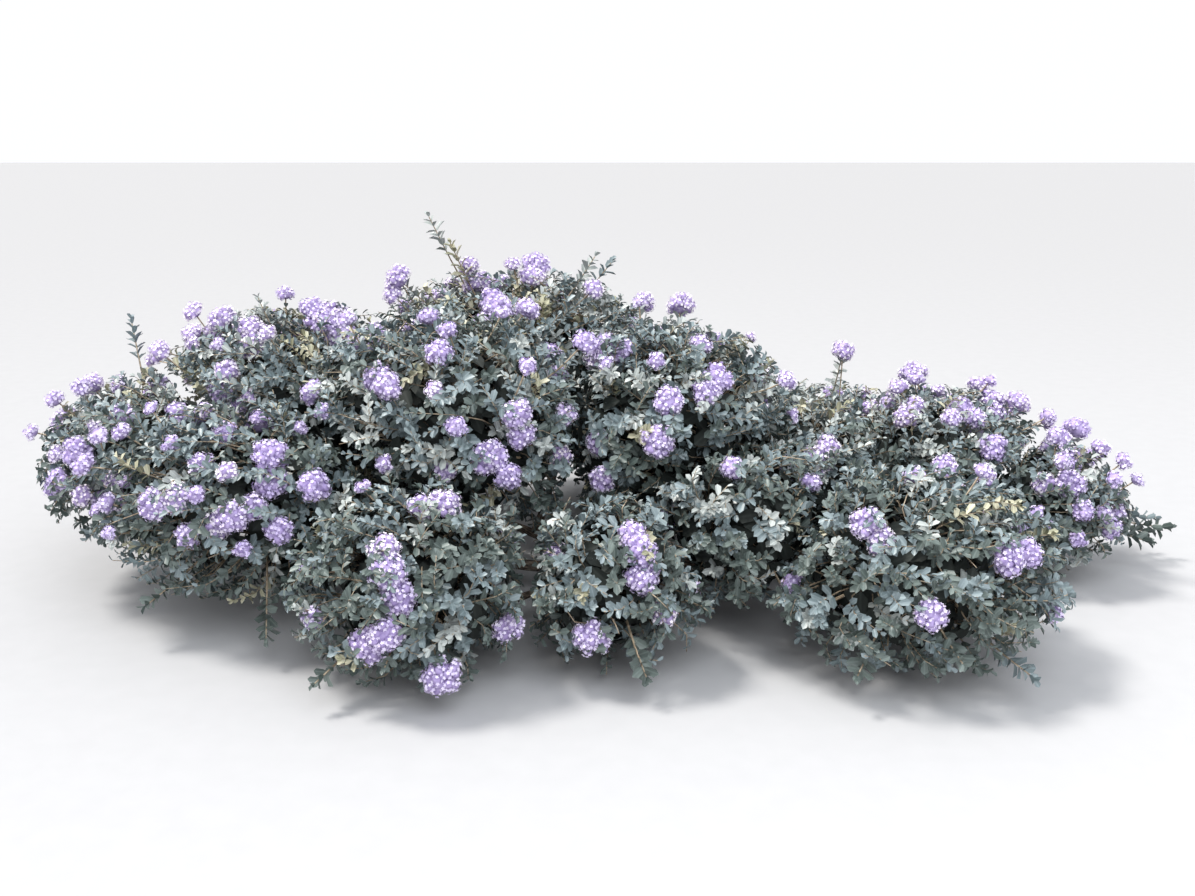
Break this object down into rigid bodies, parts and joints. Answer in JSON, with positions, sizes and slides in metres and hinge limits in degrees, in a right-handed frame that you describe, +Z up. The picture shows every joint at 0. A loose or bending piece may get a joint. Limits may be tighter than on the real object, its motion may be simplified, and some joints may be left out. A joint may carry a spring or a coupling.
{
  "type": "california lilac shrub",
  "caption": "Low spreading evergreen shrub in flower: a short stem, low boughs and mounded masses of small grey-green leaves with lilac flower heads.",
  "frame": {"origin": "centre of the flat cut under the stem, at ground level", "axes": "+Z up, away from the ground; +X along the shrub's long side, towards its low trailing end; -Y out of the side that the picture shows"},
  "size_m": [1.7412, 1.0693, 0.5426],
  "materials": {
    "bark": "dull grey-brown bark with shallow cracks, warmer tan on the twigs",
    "foliage": "small waxy grey-green leaves with paler undersides, and lilac flower heads"
  },
  "bodies": {
    "root": {"stem": "bark", "left_tip_bough": "bark", "left_front_bough": "bark", "left_shoulder_bough": "bark", "left_back_bough": "bark", "front_left_bough": "bark", "crown_left_bough": "bark", "crown_back_bough": "bark", "crown_right_bough": "bark", "back_bough": "bark", "saddle_bough": "bark", "right_back_bough": "bark", "right_crown_bough": "bark", "right_front_bough": "bark", "right_tip_bough": "bark", "front_middle_bough": "bark", "front_right_bough": "bark", "left_tip_foliage": "foliage", "left_front_foliage": "foliage", "left_shoulder_foliage": "foliage", "left_back_foliage": "foliage", "front_left_foliage": "foliage", "crown_left_foliage": "foliage", "crown_back_foliage": "foliage", "crown_right_foliage": "foliage", "back_foliage": "foliage", "saddle_foliage": "foliage", "right_back_foliage": "foliage", "right_crown_foliage": "foliage", "right_front_foliage": "foliage", "right_tip_foliage": "foliage", "front_middle_foliage": "foliage", "front_right_foliage": "foliage"}
  },
  "joints": []
}
